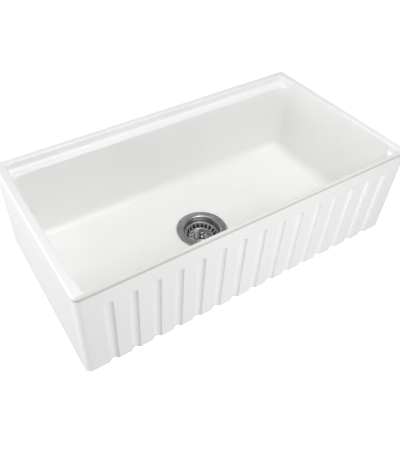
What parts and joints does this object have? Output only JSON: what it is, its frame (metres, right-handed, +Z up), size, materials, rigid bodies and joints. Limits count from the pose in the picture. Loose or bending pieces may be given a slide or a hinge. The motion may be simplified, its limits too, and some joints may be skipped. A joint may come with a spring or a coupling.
{
  "type": "farmhouse apron front sink",
  "caption": "Single-basin farmhouse sink with a fluted apron, ledges inside the rim and a basket strainer with a lift-out basket.",
  "frame": {"origin": "centre of the flat underside, which the cabinet or counter frame carries", "axes": "+X along the sink to the right as seen from the apron, +Y from the apron to the back, +Z up"},
  "size_m": [0.762, 0.404, 0.3682],
  "materials": {
    "white_glaze": "white glaze over fireclay, satin gloss",
    "gunmetal_steel": "dark gunmetal, finely brushed",
    "polished_gunmetal": "dark gunmetal, polished",
    "bare_steel": "turned stainless steel",
    "plated_tube": "bright plated brass",
    "cast_zinc": "dull cast zinc",
    "black_rubber": "matt black rubber",
    "grey_foam": "closed-cell foam",
    "paper_ring": "waxed fibre paper"
  },
  "bodies": {
    "sink": {"sink_basin": "white_glaze", "strainer_body": "gunmetal_steel", "flange_seal": "grey_foam", "floor_gasket": "black_rubber", "slip_ring": "paper_ring", "locknut": "cast_zinc", "outlet_bridge": "gunmetal_steel", "tail_washer": "black_rubber", "tailpiece": "plated_tube", "coupling_nut": "plated_tube"},
    "basket": {"basket": "gunmetal_steel", "basket_knob": "polished_gunmetal", "basket_stem": "bare_steel", "stopper": "black_rubber", "stopper_plate": "bare_steel", "stem_nut": "bare_steel", "spring_clip": "bare_steel"}
  },
  "joints": [
    {"name": "basket_lift", "type": "slide", "parent": "sink", "child": "basket", "axis": [0, 0, 1], "range_m": [0, 0.25]}
  ]
}
